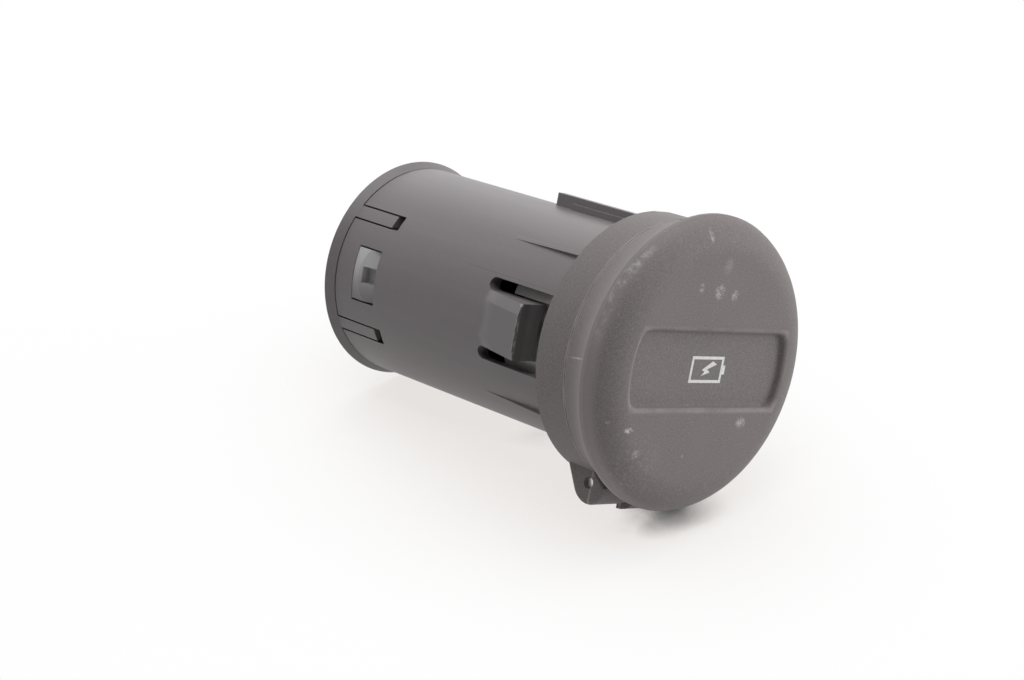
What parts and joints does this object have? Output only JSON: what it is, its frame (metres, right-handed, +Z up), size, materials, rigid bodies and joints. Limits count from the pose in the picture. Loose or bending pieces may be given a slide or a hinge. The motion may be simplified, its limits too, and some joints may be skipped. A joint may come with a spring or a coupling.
{
  "type": "usb socket panel",
  "caption": "Round push-in USB charging socket for a car console: grey barrel with snap tongues, stepped collar and a hinged lid with a charging symbol over the ports",
  "frame": {"origin": "centre of the collar's seat on the panel, on the barrel's axis", "axes": "+Y runs into the panel along the barrel, +Z is up with the hinge below, +X is to the right when facing the lid"},
  "size_m": [0.038, 0.0581, 0.0393],
  "materials": {
    "barrel_plastic": "satin moulded dark grey",
    "soft_plastic": "fine-grained soft-touch dark grey",
    "pin_steel": "plain",
    "inner_plastic": "satin light grey",
    "header_plastic": "satin black",
    "shell_steel": "bright tinned",
    "port_plastic": "satin white",
    "contact_gold": "gold plated",
    "board_green": "green solder resist",
    "coil_grey": "dull ferrite",
    "can_metal": "bright",
    "chip_black": "dull black",
    "pin_tin": "tinned"
  },
  "bodies": {
    "housing": {"outer_tube": "barrel_plastic", "rear_cap": "barrel_plastic", "collar": "soft_plastic", "hinge_pin": "pin_steel", "socket_face": "inner_plastic", "usb_shell_upper": "shell_steel", "usb_shell_lower": "shell_steel", "usb_insulator_upper": "port_plastic", "usb_insulator_lower": "port_plastic", "usb_contacts_upper": "contact_gold", "usb_contacts_lower": "contact_gold", "main_board": "board_green", "inductor": "coil_grey", "input_capacitor": "can_metal", "output_capacitor": "can_metal", "controller_chip": "chip_black", "port_chip": "chip_black", "protection_diode": "chip_black", "connector_pins": "pin_tin", "pin_header": "header_plastic"},
    "lid": {"lid": "soft_plastic"}
  },
  "joints": [
    {"name": "lid_hinge", "type": "hinge", "parent": "housing", "child": "lid", "pos_m": [0, -0.0047, -0.0167], "axis": [1, 0, 0], "range_deg": [0, 105]}
  ]
}
